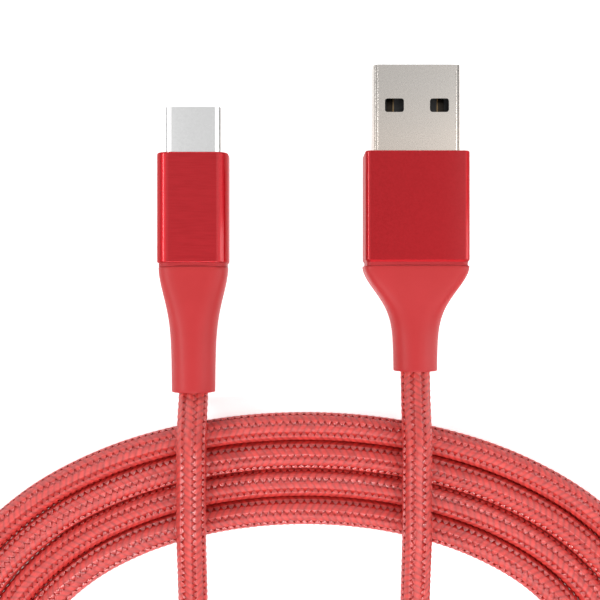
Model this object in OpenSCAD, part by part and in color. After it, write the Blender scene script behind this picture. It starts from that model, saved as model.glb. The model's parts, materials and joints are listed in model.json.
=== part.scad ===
// Braided charging cable: a wide host plug and a small device plug on one textile cord,
// with the middle of the cord wound in a flat oval coil. Millimetres, Z up, the cable lies on z = 0.
// X runs across the two plugs and +Y is the way they plug in.

/* [Host plug shell] */
// Width of the metal shell
host_shell_w = 12; // [11.8:0.05:12.2]
// Height of the metal shell
host_shell_h = 4.5; // [4.3:0.05:4.8]
// Length of shell in front of the housing
host_shell_reach = 12; // [11.5:0.25:14]
// Length of shell held inside the housing
host_shell_seat = 6; // [5:0.5:7]
// Sheet thickness of the shell
host_shell_wall = 0.3; // [0.25:0.05:0.35]
// Outer corner radius of the shell
host_shell_r = 0.6; // [0.4:0.1:0.9]
// Width of each latch window
window_w = 2.6; // [2:0.1:3]
// Length of each latch window
window_l = 1.86; // [1.5:0.02:2.4]
// Corner radius of the latch windows
window_r = 0.35; // [0.2:0.05:0.6]
// Distance between the centres of the two windows in one face
window_pitch = 6.2; // [5:0.1:7]
// Distance from the shell's tip to the window centres
window_back = 5.6; // [4.5:0.1:7]

/* [Host plug inside] */
// Thickness of the contact carrier
tongue_t = 1.9; // [1.7:0.05:2.1]
// Distance from the shell's tip to the front of the carrier
tongue_recess = 0.5; // [0.2:0.1:1]
// Width of one contact
host_contact_w = 1; // [0.8:0.05:1.2]
// Thickness of one contact
host_contact_t = 0.2; // [0.15:0.05:0.4]
// Height of the contact faces above the carrier
host_contact_proud = 0.05; // [0.02:0.01:0.1]
// Distance from the axis to each inner contact
host_inner_contact_x = 1; // [0.9:0.05:1.2]
// Distance from the axis to each outer contact
host_outer_contact_x = 3.5; // [3.3:0.05:3.7]
// Distance from the carrier's front to the outer contacts
host_outer_contact_back = 0.9; // [0.5:0.1:1.5]
// Distance from the carrier's front to the inner contacts
host_inner_contact_back = 1.9; // [1.6:0.1:3]
// Length of contact tail behind the carrier
host_tail_l = 2.2; // [1.5:0.1:3]

/* [Host plug body] */
// Width of housing on each side of the shell
host_side = 1.15; // [1.05:0.05:2]
// Height of the housing
host_housing_h = 7.4; // [7:0.1:9]
// Length of the housing
host_housing_l = 15.2; // [14.5:0.1:18]
// Radius of the housing's long edges
host_housing_r = 0.8; // [0.5:0.1:1.5]
// How far the boot stands out beside the housing on each side
host_boot_proud = 0.15; // [-0.3:0.05:0.4]
// Length of the boot
host_boot_l = 14.6; // [13:0.1:18]
// Distance over which the boot narrows
host_boot_neck = 4.9; // [4:0.1:6]
// Squareness of the boot's front outline
host_boot_square = 7; // [4:0.5:9]
// Outer diameter of the crimped ferrule
host_ferrule_d = 5; // [4.7:0.1:5.4]

/* [Device plug shell] */
// Width of the metal shell
device_shell_w = 8.25; // [8.15:0.05:8.35]
// Height of the metal shell
device_shell_h = 2.4; // [2.35:0.01:2.5]
// Length of shell in front of the housing
device_shell_reach = 6.5; // [6.2:0.05:7]
// Length of shell held inside the housing
device_shell_seat = 4; // [3.8:0.1:5]
// Sheet thickness of the shell
device_shell_wall = 0.25; // [0.2:0.01:0.26]

/* [Device plug inside] */
// Clear width of the mouth in the insulator
mouth_w = 6.8; // [6.7:0.02:6.9]
// Clear height of the mouth in the insulator
mouth_h = 1; // [0.9:0.02:1.1]
// Distance from the shell's tip to the insulator's front
mouth_recess = 0.2; // [0.1:0.05:0.4]
// Length of the insulator's front lip
lip_l = 0.8; // [0.6:0.05:1]
// Pitch of the contact places
pin_pitch = 0.5; // [0.48:0.01:0.51]
// Width of one contact beam
pin_w = 0.2; // [0.15:0.01:0.24]
// Thickness of one contact beam
pin_t = 0.12; // [0.08:0.01:0.13]
// Distance from the mid plane to the beams' inner faces
pin_z = 0.5; // [0.48:0.01:0.52]
// Radius of the contact bump on each beam
bump_r = 0.25; // [0.2:0.01:0.3]
// Distance from the beams' root to the bump
bump_y = 3.9; // [3.6:0.05:4]
// Length of the contact beams
pin_l = 4.3; // [4.25:0.01:4.4]
// Thickness of the side latch arms
latch_t = 0.15; // [0.1:0.01:0.16]
// Height of the side latch arms
latch_h = 0.6; // [0.5:0.02:0.62]
// Length of the side latch arms
latch_l = 4.9; // [4.5:0.05:5]
// How far a latch hook reaches inwards
latch_hook = 0.25; // [0.2:0.01:0.3]
// Length of a latch hook along its arm
latch_hook_l = 1; // [0.8:0.05:1.2]
// Thickness of the mid plate that carries the latches
mid_plate_t = 0.15; // [0.1:0.01:0.2]
// Length of the mid plate's side tabs
mid_tab_l = 0.5; // [0.3:0.05:0.8]
// Thickness of the ground springs
ground_t = 0.06; // [0.04:0.01:0.07]
// Gap between a ground spring and the contact beams under it
ground_gap = 0.04; // [0.03:0.01:0.05]
// Width of a ground spring's tongues
ground_tongue_w = 0.6; // [0.4:0.05:0.8]
// Length of a ground spring's tongues along the plug
ground_tongue_l = 0.3; // [0.2:0.05:0.4]
// Distance between the tongues of a ground spring
ground_tongue_pitch = 1.5; // [1.2:0.1:1.8]
// Distance from the mid plane to the tongues' inner faces
ground_tongue_z = 0.35; // [0.33:0.01:0.4]
// Length of contact tail on the circuit board
tail_l = 1.6; // [1:0.1:2]
// Width of the circuit board
board_w = 7.4; // [6.8:0.1:7.5]
// Length of the circuit board
board_l = 7; // [6:0.1:8]
// Distance from the axis to the wires' solder pads on the board
pad_x = 1.6; // [1.2:0.1:2.4]
// Length of the resistor
resistor_l = 1; // [0.8:0.1:1.4]
// Width of the resistor
resistor_w = 0.5; // [0.4:0.1:0.8]
// Height of the resistor
resistor_h = 0.35; // [0.3:0.05:0.5]

/* [Device plug body] */
// Width of housing on each side of the shell
device_side = 0.825; // [0.8:0.025:1.6]
// Height of the housing
device_housing_h = 6.1; // [6:0.1:7.5]
// Length of the housing
device_housing_l = 15.3; // [15:0.1:18]
// Radius of the housing's long edges
device_housing_r = 1.8; // [1:0.1:2.2]
// How far the boot stands out beside the housing on each side
device_boot_proud = -0.1; // [-0.4:0.05:0.3]
// Length of the boot
device_boot_l = 17.5; // [15:0.1:20]
// Distance over which the boot narrows
device_boot_neck = 5.9; // [5:0.1:7]
// Squareness of the boot's front outline
device_boot_square = 3.4; // [2.6:0.2:5]
// Outer diameter of the crimped ferrule
device_ferrule_d = 4.6; // [4.4:0.1:4.8]

/* [Both plugs] */
// Distance between the two plug axes
plug_pitch = 31.05; // [28:0.05:36]
// Wall of the metal housings
housing_wall = 0.6; // [0.4:0.05:0.7]
// Thickness of a housing's front face
front_wall = 1; // [0.6:0.1:1.4]
// Length of the groove between a housing and its boot
groove_l = 0.5; // [0.3:0.05:0.9]
// Depth of that groove
groove_depth = 0.2; // [0.1:0.05:0.35]
// Diameter of a boot where the cord leaves it
boot_end_d = 6.1; // [5.6:0.1:6.1]
// Length of ferrule behind the housing's inner core
ferrule_l = 4.2; // [3:0.1:6]
// Diameter of one insulated wire
wire_d = 0.9; // [0.7:0.05:0.95]

/* [Cord] */
// Outer diameter of the braided cord
cord_d = 4; // [3.6:0.05:4.05]
// Half length of the coil's innermost turn
coil_in_a = 38.7; // [36:0.1:42]
// Half width of the coil's innermost turn
coil_in_b = 22.3; // [20:0.1:26]
// Distance from turn to turn at the coil's two ends
coil_step_a = 4.1; // [4:0.01:4.6]
// Distance from turn to turn at the coil's two long sides
coil_step_b = 3.92; // [3.92:0.01:4.4]
// Number of turns
coil_turns = 4; // [2:1:6]
// Distance from the origin to the coil's centre
coil_back = 63.7; // [62:0.1:80]

/* [Clearances] */
// Gap round a piece that is pushed into another
seat_gap = 0.05; // [0.02:0.01:0.08]
// Gap round the moving springs
spring_gap = 0.1; // [0.06:0.01:0.12]
// Solder between a wire and its pad
solder_t = 0.22; // [0.2:0.01:0.25]
// Gap between the wires where they enter the cord
wire_gap = 0.2; // [0.1:0.05:0.3]

/* [Hidden] */

$fn = 64;
eps = 0.01;

// Inner corner radius of a wall, never quite sharp.
function inner_r(r, wall) = max(r - wall, 0.1);

// Widths of the housings and boots.
host_housing_w = host_shell_w + 2 * host_side;
host_boot_w = host_housing_w + 2 * host_boot_proud;
device_housing_w = device_shell_w + 2 * device_side;
device_boot_w = device_housing_w + 2 * device_boot_proud;

// Places of the two plugs: the two together are centred on the origin.
host_half_w = max(host_housing_w, host_boot_w) / 2;
device_half_w = max(device_housing_w, device_boot_w) / 2;
half_span = (plug_pitch + host_half_w + device_half_w) / 2;
host_x = half_span - host_half_w;
device_x = device_half_w - half_span;
front_y = (device_housing_l + groove_l + device_boot_l - host_shell_reach) / 2;
host_z = max(host_housing_h, boot_end_d) / 2;
device_z = max(device_housing_h, boot_end_d) / 2;

// Lengths along each plug, measured back from its housing's front face.
host_boot_y = -host_housing_l - groove_l;
host_end_y = host_boot_y - host_boot_l;
device_boot_y = -device_housing_l - groove_l;
device_end_y = device_boot_y - device_boot_l;
core_wall = 1;
host_core_y = -host_housing_l + core_wall;
device_core_y = -device_housing_l + core_wall;
// Length of wire that stays clear of the cord's end, and of pad behind the start of a wire.
wire_stub = 0.3;
solder_in = 1;

// Host plug, inside sizes that follow from the shell.
host_cavity_w = host_shell_w - 2 * host_shell_wall;
host_cavity_h = host_shell_h - 2 * host_shell_wall;
host_cavity_r = inner_r(host_shell_r, host_shell_wall);
carrier_w = host_cavity_w - 2 * seat_gap;
carrier_h = host_cavity_h - 2 * seat_gap;
carrier_r = host_cavity_r;
carrier_top = tongue_t - carrier_h / 2;
host_contact_x = [-host_outer_contact_x, -host_inner_contact_x, host_inner_contact_x, host_outer_contact_x];
host_tail_y = -host_shell_seat - host_tail_l;

// Device plug, inside sizes that follow from its shell.
block_inset = 0.5;
device_cavity_w = device_shell_w - 2 * device_shell_wall;
device_cavity_h = device_shell_h - 2 * device_shell_wall;
insulator_w = device_cavity_w - 2 * seat_gap;
insulator_h = device_cavity_h - 2 * seat_gap;
insulator_front = device_shell_reach - mouth_recess;
root_y = insulator_front - lip_l - latch_l - 2 * spring_gap;
block_front = root_y - spring_gap;
block_back = block_inset - device_shell_seat;
latch_x = mouth_w / 2 + seat_gap;
// Places of the upper and the lower contacts, counted from the middle in half pitches.
upper_pins = [-11, -5, -3, -1, 1, 5, 11];
lower_pins = [-11, -5, -3, 5, 11];
rail_in = 6 * pin_pitch - seat_gap;
bump_z = pin_z + bump_r / 5;
ground_z = pin_z + pin_t + ground_gap;
board_t = 2 * pin_z;
board_front = block_back - spring_gap;
tail_back = board_front - tail_l;
resistor_front = tail_back - 1;
mid_plate_inset = 0.5;
device_chamber_h = board_t + 2 * (wire_d + solder_t + seat_gap);

// The free leads. Each route starts at its boot, where the list takes the boot's own place.
lead_z = 6.2;
floor_z = cord_d / 2;
device_route = [
    [device_x, front_y + device_end_y, device_z],
    [device_x, -26, 4.8], [device_x, -29.5, lead_z], [device_x, -36, lead_z], [device_x, -42, lead_z],
    [device_x, -50, 4.2], [device_x, -58, 2.4], [device_x, -64, floor_z], [device_x, -70, floor_z],
    [-15.4, -76, floor_z], [-11.8, -81.4, floor_z], [-6.4, -85, floor_z]
];
host_route = [
    [host_x, front_y + host_end_y, host_z],
    [host_x, -24.5, 4.7], [host_x, -29, lead_z], [host_x, -36, lead_z], [host_x, -42, lead_z],
    [host_x, -49, 4.4], [host_x, -56, 2.8], [host_x, -62, 2.3], [host_x, -68, 2.8],
    [host_x, -75, 4.4], [host_x, -82, lead_z], [host_x, -88, lead_z], [12.9, -94, lead_z],
    [8.6, -99.4, 5.8], [3, -102, 3.4]
];

// The coil: an oval spiral on the floor, each turn laid against the one inside it, from the bottom
// of the inside turn to the bottom of the outside one, with a short straight end at each side.
rings_per_turn = 24;
coil_sides = 6;
lead_sides = 8;
coil_t0 = 0.02;
coil_t1 = coil_turns - 0.02;
coil_rings = round((coil_t1 - coil_t0) * rings_per_turn);

function unit(v) = v / norm(v);
function spiral(t) =
    let (
        turned = 270 + 360 * t,
        outwards = unit([coil_in_b * cos(turned), coil_in_a * sin(turned)]),
        step = coil_step_b + (coil_step_a - coil_step_b) * pow(cos(turned), 2)
    )
    [
        coil_in_a * cos(turned) + step * t * outwards.x,
        coil_in_b * sin(turned) + step * t * outwards.y - coil_back,
        floor_z
    ];
function heading(t) = unit(spiral(t + 0.001) - spiral(t - 0.001));
// The straight ends lean away from the next turn.
end_lean = 6;
function leaned(v) = [
    v.x * cos(end_lean) + v.y * sin(end_lean),
    v.y * cos(end_lean) - v.x * sin(end_lean),
    v.z
];
start_dir = leaned(heading(coil_t0));
end_dir = leaned(heading(coil_t1));
coil_start = spiral(coil_t0) - cord_d * start_dir;
coil_end = spiral(coil_t1) + cord_d * end_dir;
coil_path = concat(
    [coil_start],
    [for (i = [0:coil_rings]) spiral(coil_t0 + (coil_t1 - coil_t0) * i / coil_rings)],
    [coil_end]
);
device_path = concat(device_route, [coil_start]);
host_path = concat(host_route, [coil_end]);

// Sweep of a round section along a route. The first and last rings are square to what they meet.
function across(p, i, first, last) =
    i == 0 ? first :
    i == len(p) - 1 ? last :
    unit(unit(p[i + 1] - p[i]) + unit(p[i] - p[i - 1]));
function level(v) = unit([-v.y, v.x, 0]);
function ring(c, v, r, sides) = [
    for (k = [0:sides - 1])
        c + r * (cos(360 * (k + 0.5) / sides) * level(v) + sin(360 * (k + 0.5) / sides) * cross(v, level(v)))
];
function rings(p, r, sides, first, last) =
    [for (i = [0:len(p) - 1]) each ring(p[i], across(p, i, first, last), r, sides)];

module tube(p, r, sides, first, last) {
    n = len(p);
    points = rings(p, r, sides, first, last);
    walls = [
        for (i = [0:n - 2]) for (k = [0:sides - 1])
            each let (a = i * sides + k, b = i * sides + (k + 1) % sides)
                [[a, a + sides, b], [b, a + sides, b + sides]]
    ];
    caps = [
        for (k = [1:sides - 2])
            each let (z = (n - 1) * sides) [[0, k, k + 1], [z, z + k + 1, z + k]]
    ];
    polyhedron(points, concat(walls, caps), convexity = 10);
}

// The least gap of the coil to itself, measured between the rings of one turn and the next.
coil_points = rings(coil_path, cord_d / 2, coil_sides, start_dir, end_dir);
function ring_points(i) = [for (k = [0:coil_sides - 1]) coil_points[i * coil_sides + k]];
// Distance from point p to the stretch between a and b.
function to_edge(p, a, b) =
    let (f = max(0, min(1, (p - a) * (b - a) / ((b - a) * (b - a))))) norm(p - a - f * (b - a));
near_rings = 4;
function gap_near(i) = min([
    for (j = [i + rings_per_turn - near_rings:min(i + rings_per_turn + near_rings, len(coil_path) - 2)])
        for (p = ring_points(i)) for (k = [0:coil_sides - 1])
            to_edge(p, coil_points[j * coil_sides + k], coil_points[(j + 1) * coil_sides + k])
]);
coil_gap = min([for (i = [0:len(coil_path) - rings_per_turn - 1]) gap_near(i)]);
function run(p, i = 1) = i < len(p) ? norm(p[i] - p[i - 1]) + run(p, i + 1) : 0;
echo(coil_gap = coil_gap);
echo(cord_length = run(device_path) + run(coil_path) + run(host_path));

// A boot's half width, half height and squareness at distance s behind its front face.
boot_taper = 0.15;
boot_bend = 1.9;
function fade(s, neck) = exp(-pow(s / neck, boot_bend));
function boot_size(s, l, neck, front) =
    boot_end_d / 2 + boot_taper * (1 - s / l) + (front - boot_end_d / 2 - boot_taper) * fade(s, neck);
function signed_pow(v, e) = sign(v) * pow(abs(v), e);
function oval(a, b, n, sides) = [
    for (k = [0:sides - 1])
        let (u = 360 * (k + 0.5) / sides) [a * signed_pow(cos(u), 2 / n), b * signed_pow(sin(u), 2 / n)]
];

// Shapes shared by both plugs.
module rounded(w, h, r) {
    square([w - 2 * r, h], center = true);
    square([w, h - 2 * r], center = true);
    for (x = [-1, 1], y = [-1, 1])
        translate([x * (w / 2 - r), y * (h / 2 - r)]) circle(r);
}

module along(from, to) {
    translate([0, max(from, to), 0]) rotate([90, 0, 0]) linear_extrude(abs(to - from)) children();
}

module bar(w, h, from, to, x = 0, z = 0) {
    translate([x - w / 2, min(from, to), z - h / 2]) cube([w, abs(to - from), h]);
}

module rod(d, from, to) {
    along(from, to) circle(d = d);
}

// A straight round rod between two points.
module rod_between(a, b, d) {
    v = b - a;
    translate(a) rotate([0, acos(v.z / norm(v)), atan2(v.y, v.x)]) cylinder(d = d, h = norm(v));
}

module host_at() {
    translate([host_x, front_y, host_z]) children();
}

module device_at() {
    translate([device_x, front_y, device_z]) children();
}

module housing(w, h, l, r) {
    difference() {
        along(-l, 0) rounded(w, h, r);
        along(-l - eps, -front_wall)
            rounded(w - 2 * housing_wall, h - 2 * housing_wall, inner_r(r, housing_wall));
        children();
    }
}

module core(w, h, r, back, chamber_w, chamber_h, chamber_from) {
    inset = housing_wall + seat_gap;
    difference() {
        along(back, -front_wall - seat_gap)
            rounded(w - 2 * inset, h - 2 * inset, inner_r(r, inset));
        bar(chamber_w, chamber_h, back + core_wall, chamber_from);
        rod(cord_d + 2 * seat_gap, back - eps, back + core_wall + eps);
        children();
    }
}

module ring_plate(w, h, r, from, bore) {
    difference() {
        along(from - groove_l, from) rounded(w - 2 * groove_depth, h - 2 * groove_depth, r);
        rod(bore, from - groove_l - eps, from + eps);
    }
}

module boot(w, h, l, neck, square_n, from, ferrule_d, ferrule_back) {
    steps = 18;
    sides = 40;
    sections = [
        for (i = [0:steps])
            let (s = l * i / steps)
                [for (q = oval(boot_size(s, l, neck, w / 2), boot_size(s, l, neck, h / 2),
                    2 + (square_n - 2) * fade(s, neck), sides)) [q.x, from - s, q.y]]
    ];
    walls = [
        for (i = [0:steps - 1]) for (k = [0:sides - 1])
            each let (a = i * sides + k, b = i * sides + (k + 1) % sides)
                [[a, b, a + sides], [b, b + sides, a + sides]]
    ];
    caps = [
        for (k = [1:sides - 2])
            each let (z = steps * sides) [[0, k + 1, k], [z, z + k, z + k + 1]]
    ];
    difference() {
        polyhedron([for (s = sections) each s], concat(walls, caps), convexity = 6);
        rod(cord_d + 2 * seat_gap, from - l - eps, from + eps);
        rod(ferrule_d + 2 * seat_gap, ferrule_back - seat_gap, from + eps);
    }
}

module ferrule(d, from) {
    difference() {
        rod(d, from - ferrule_l, from);
        rod(cord_d, from - ferrule_l - eps, from + eps);
    }
}

// Four insulated wires that run from their solder places to the end of the cord.
module wires(starts, back) {
    spread = (wire_d + wire_gap) / 2;
    corners = [[-1, -1], [-1, 1], [1, 1], [1, -1]];
    for (i = [0:3]) rod_between(starts[i], [corners[i].x * spread, back, corners[i].y * spread], wire_d);
}

// Host plug.
module host_shell_solid() {
    along(-host_shell_seat, host_shell_reach) rounded(host_shell_w, host_shell_h, host_shell_r);
}

module host_shell() {
    color("silver") host_at() difference() {
        host_shell_solid();
        along(-host_shell_seat - eps, host_shell_reach + eps)
            rounded(host_cavity_w, host_cavity_h, host_cavity_r);
        for (x = [-1, 1]) translate([x * window_pitch / 2, host_shell_reach - window_back, -host_shell_h])
            linear_extrude(2 * host_shell_h) rounded(window_w, window_l, window_r);
    }
}

module host_contact_solids() {
    for (x = host_contact_x) {
        back = abs(x) > host_inner_contact_x ? host_outer_contact_back : host_inner_contact_back;
        bar(host_contact_w, host_contact_t, host_tail_y, host_shell_reach - tongue_recess - back,
            x, carrier_top + host_contact_proud - host_contact_t / 2);
    }
}

module host_insulator() {
    front = host_shell_reach - tongue_recess;
    color([0.06, 0.06, 0.07]) host_at() difference() {
        intersection() {
            along(-host_shell_seat, front) rounded(carrier_w, carrier_h, carrier_r);
            union() {
                bar(carrier_w, tongue_t, -host_shell_seat, front, z = carrier_top - tongue_t / 2);
                bar(carrier_w, carrier_h, -host_shell_seat, -front_wall);
            }
        }
        host_contact_solids();
    }
}

module host_contacts() {
    color([0.8, 0.66, 0.38]) host_at() host_contact_solids();
}

module host_core() {
    color([0.92, 0.92, 0.88]) host_at()
        core(host_housing_w, host_housing_h, host_housing_r, host_core_y,
            host_cavity_w, host_cavity_h, -host_shell_seat + eps)
            host_shell_solid();
}

module host_wires() {
    tail_top = carrier_top + host_contact_proud;
    color("darkred") host_at() wires(
        [for (x = host_contact_x) [x, host_tail_y + solder_in, tail_top + wire_d / 2 + solder_t]],
        host_core_y + core_wall + wire_stub);
}

module host_ferrule() {
    color("gainsboro") host_at() ferrule(host_ferrule_d, host_core_y - seat_gap);
}

module host_housing() {
    color([0.7, 0.16, 0.18]) host_at()
        housing(host_housing_w, host_housing_h, host_housing_l, host_housing_r)
            along(-front_wall - eps, eps)
                rounded(host_shell_w + 2 * seat_gap, host_shell_h + 2 * seat_gap, host_shell_r + seat_gap);
}

module host_ring() {
    color([0.45, 0.1, 0.12]) host_at()
        ring_plate(host_housing_w, host_housing_h, host_housing_r, -host_housing_l,
            host_ferrule_d + 2 * seat_gap);
}

module host_boot() {
    color([0.8, 0.26, 0.27]) host_at()
        boot(host_boot_w, host_housing_h, host_boot_l, host_boot_neck, host_boot_square,
            host_boot_y, host_ferrule_d, host_core_y - seat_gap - ferrule_l);
}

module host_cord_end() {
    color([0.9, 0.35, 0.36]) host_at() rod(cord_d, host_end_y, host_core_y + core_wall);
}

// Device plug.
module device_outline(w, h) {
    straight_w = w - h;
    square([straight_w, h], center = true);
    for (x = [-1, 1]) translate([x * straight_w / 2, 0]) circle(d = h);
}

module device_shell_solid() {
    along(-device_shell_seat, device_shell_reach) device_outline(device_shell_w, device_shell_h);
}

module device_shell() {
    color("silver") device_at() difference() {
        device_shell_solid();
        along(-device_shell_seat - eps, device_shell_reach + eps)
            device_outline(device_cavity_w, device_cavity_h);
    }
}

// Contact strips of one row: side is 1 for the upper row and -1 for the lower one.
module pin_bars(pins, side, from, to) {
    for (i = pins) bar(pin_w, pin_t, from, to, i * pin_pitch / 2, side * (pin_z + pin_t / 2));
}

module contact_tail_solids() {
    pin_bars(upper_pins, 1, tail_back, block_front);
    pin_bars(lower_pins, -1, tail_back, block_front);
}

module mid_plate_solid() {
    bar(2 * (latch_x - mid_plate_inset), mid_plate_t, block_back + eps, block_front);
    bar(2 * (latch_x + latch_t), mid_plate_t, block_front - mid_tab_l, block_front);
}

module device_insulator() {
    lip_back = insulator_front - lip_l;
    color([0.1, 0.1, 0.11]) device_at() difference() {
        intersection() {
            along(block_back, insulator_front) device_outline(insulator_w, insulator_h);
            union() {
                bar(insulator_w, insulator_h, block_back, block_front);
                bar(insulator_w, insulator_h, lip_back, insulator_front);
                for (x = [-1, 1], z = [-1, 1])
                    bar(insulator_w, insulator_h, block_front - eps, lip_back + eps,
                        x * (rail_in + insulator_w / 2), z * (mouth_h / 2 + insulator_h / 2));
            }
        }
        bar(mouth_w, mouth_h, lip_back - eps, insulator_front + eps);
        contact_tail_solids();
        mid_plate_solid();
    }
}

module device_mid_plate() {
    color("lightgray") device_at() mid_plate_solid();
}

module latch_arm(side) {
    hook_y = root_y + latch_l - spring_gap - latch_hook_l / 2;
    bar(latch_t, latch_h, root_y, root_y + latch_l, side * (latch_x + latch_t / 2));
    translate([side * (latch_x + latch_t / 2), hook_y, -latch_h / 2])
        linear_extrude(latch_h)
            polygon([[0, -latch_hook_l / 2], [-side * (latch_t / 2 + latch_hook), 0], [0, latch_hook_l / 2]]);
}

module device_latch_left() {
    color("lightgray") device_at() latch_arm(-1);
}

module device_latch_right() {
    color("lightgray") device_at() latch_arm(1);
}

// The springy beams of one row, each with a round bump that touches the other part's contact.
module contact_row(pins, side) {
    pin_bars(pins, side, root_y, root_y + pin_l);
    for (i = pins)
        translate([i * pin_pitch / 2 - pin_w / 2, root_y + bump_y, side * bump_z])
            rotate([0, 90, 0]) cylinder(r = bump_r, h = pin_w);
}

// The space over the beams' outer faces, where no bump stands out.
module above_beams(side) {
    bar(device_shell_w, 2 * bump_r, root_y, root_y + latch_l, z = side * (pin_z + pin_t + bump_r));
}

module device_contacts_upper() {
    color([0.85, 0.7, 0.35]) device_at() difference() {
        contact_row(upper_pins, 1);
        above_beams(1);
    }
}

module device_contacts_lower() {
    color([0.85, 0.7, 0.35]) device_at() difference() {
        contact_row(lower_pins, -1);
        above_beams(-1);
    }
}

// A ground spring: a thin plate over the beams, with three tongues near the mouth.
module ground_spring(side) {
    ground_front = root_y + latch_l;
    bar(2 * (rail_in - spring_gap), ground_t, root_y, ground_front, z = side * (ground_z + ground_t / 2));
    for (i = [-1:1])
        bar(ground_tongue_w, ground_z - ground_tongue_z, ground_front - ground_tongue_l, ground_front,
            i * ground_tongue_pitch, side * (ground_z + ground_tongue_z) / 2);
}

module device_spring_upper() {
    color("lightgray") device_at() ground_spring(1);
}

module device_spring_lower() {
    color("lightgray") device_at() ground_spring(-1);
}

module device_contact_tails() {
    color([0.85, 0.7, 0.35]) device_at() contact_tail_solids();
}

module device_board() {
    color("darkgreen") device_at() bar(board_w, board_t, board_front - board_l, board_front);
}

module device_resistor() {
    color([0.2, 0.2, 0.22]) device_at()
        bar(resistor_w, resistor_h, resistor_front - resistor_l, resistor_front,
            pad_x, (board_t + resistor_h) / 2);
}

module device_core() {
    color([0.92, 0.92, 0.88]) device_at()
        core(device_housing_w, device_housing_h, device_housing_r, device_core_y,
            board_w + 2 * seat_gap, device_chamber_h, -device_shell_seat + eps)
            device_shell_solid();
}

module device_wires() {
    y = board_front - board_l + solder_in;
    z = board_t / 2 + wire_d / 2 + solder_t;
    color("darkred") device_at() wires(
        [[-pad_x, y, -z], [-pad_x, y, z], [pad_x, y, z], [pad_x, y, -z]],
        device_core_y + core_wall + wire_stub);
}

module device_ferrule() {
    color("gainsboro") device_at() ferrule(device_ferrule_d, device_core_y - seat_gap);
}

module device_housing() {
    color([0.7, 0.16, 0.18]) device_at()
        housing(device_housing_w, device_housing_h, device_housing_l, device_housing_r)
            along(-front_wall - eps, eps)
                device_outline(device_shell_w + 2 * seat_gap, device_shell_h + 2 * seat_gap);
}

module device_ring() {
    color([0.45, 0.1, 0.12]) device_at()
        ring_plate(device_housing_w, device_housing_h, device_housing_r, -device_housing_l,
            device_ferrule_d + 2 * seat_gap);
}

module device_boot() {
    color([0.8, 0.26, 0.27]) device_at()
        boot(device_boot_w, device_housing_h, device_boot_l, device_boot_neck, device_boot_square,
            device_boot_y, device_ferrule_d, device_core_y - seat_gap - ferrule_l);
}

module device_cord_end() {
    color([0.9, 0.35, 0.36]) device_at() rod(cord_d, device_end_y, device_core_y + core_wall);
}

// Cord.
module device_lead() {
    color([0.93, 0.36, 0.37]) tube(device_path, cord_d / 2, lead_sides, [0, -1, 0], start_dir);
}

module coil() {
    color([0.93, 0.36, 0.37])
        tube(coil_path, cord_d / 2, coil_sides, start_dir, end_dir);
}

module host_lead() {
    color([0.93, 0.36, 0.37]) tube(host_path, cord_d / 2, lead_sides, [0, -1, 0], -end_dir);
}

host_shell();
host_insulator();
host_contacts();
host_core();
host_wires();
host_ferrule();
host_housing();
host_ring();
host_boot();
host_cord_end();
device_shell();
device_insulator();
device_mid_plate();
device_latch_left();
device_latch_right();
device_contacts_upper();
device_contacts_lower();
device_spring_upper();
device_spring_lower();
device_contact_tails();
device_board();
device_resistor();
device_core();
device_wires();
device_ferrule();
device_housing();
device_ring();
device_boot();
device_cord_end();
device_lead();
coil();
host_lead();
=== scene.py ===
import json
import math

import bmesh
import bpy
import numpy as np
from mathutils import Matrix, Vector


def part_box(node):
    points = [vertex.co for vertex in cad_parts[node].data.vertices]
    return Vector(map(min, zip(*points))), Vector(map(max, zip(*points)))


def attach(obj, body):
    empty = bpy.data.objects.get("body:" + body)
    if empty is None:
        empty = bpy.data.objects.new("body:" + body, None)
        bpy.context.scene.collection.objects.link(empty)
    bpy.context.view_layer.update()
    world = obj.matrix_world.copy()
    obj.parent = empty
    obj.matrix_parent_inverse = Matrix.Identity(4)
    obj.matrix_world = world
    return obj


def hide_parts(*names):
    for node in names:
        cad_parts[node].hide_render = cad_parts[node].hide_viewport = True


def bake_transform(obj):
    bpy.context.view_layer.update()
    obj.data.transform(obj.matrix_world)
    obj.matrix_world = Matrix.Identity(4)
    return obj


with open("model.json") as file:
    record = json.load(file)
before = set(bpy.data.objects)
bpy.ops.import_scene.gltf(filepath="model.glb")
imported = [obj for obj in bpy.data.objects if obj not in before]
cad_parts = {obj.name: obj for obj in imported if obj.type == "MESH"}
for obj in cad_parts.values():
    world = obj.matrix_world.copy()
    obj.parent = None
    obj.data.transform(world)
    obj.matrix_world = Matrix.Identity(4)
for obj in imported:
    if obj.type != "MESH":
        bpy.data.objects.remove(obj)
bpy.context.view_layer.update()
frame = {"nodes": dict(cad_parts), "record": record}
mm = 0.001
mostly = 0.9                        # share of a length from which it counts as running one way
metalAngle, softAngle = 30, 45      # degrees from which an edge of metal or rubber stays sharp
print("frame loaded:", len(frame["nodes"]), "nodes")


# places are written in millimetres and used in metres
def place(x, y, z):
    return Vector((x * mm, y * mm, z * mm))


def middle(node):
    low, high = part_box(node)
    return (low + high) / 2


# the same place but for rounding
def same(a, b, within=1e-6):
    return abs(a - b) < within


# selecting and finishing, as by hand

def clearSelection():
    if bpy.context.object and bpy.context.object.mode != "OBJECT":
        bpy.ops.object.mode_set(mode="OBJECT")
    bpy.ops.object.select_all(action="DESELECT")


def activate(piece):
    clearSelection()
    piece.select_set(True)
    bpy.context.view_layer.objects.active = piece


def bakePlace(piece):
    activate(piece)
    bpy.ops.object.transform_apply(location=True, rotation=True, scale=True)


def applyModifiers(piece):
    activate(piece)
    for modifier in list(piece.modifiers):
        bpy.ops.object.modifier_apply(modifier=modifier.name)


def startPiece(name, size, centre):
    clearSelection()
    bpy.ops.mesh.primitive_cube_add(size=1, location=centre, scale=size)
    piece = bpy.context.object
    piece.name = name
    bakePlace(piece)
    return piece


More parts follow.
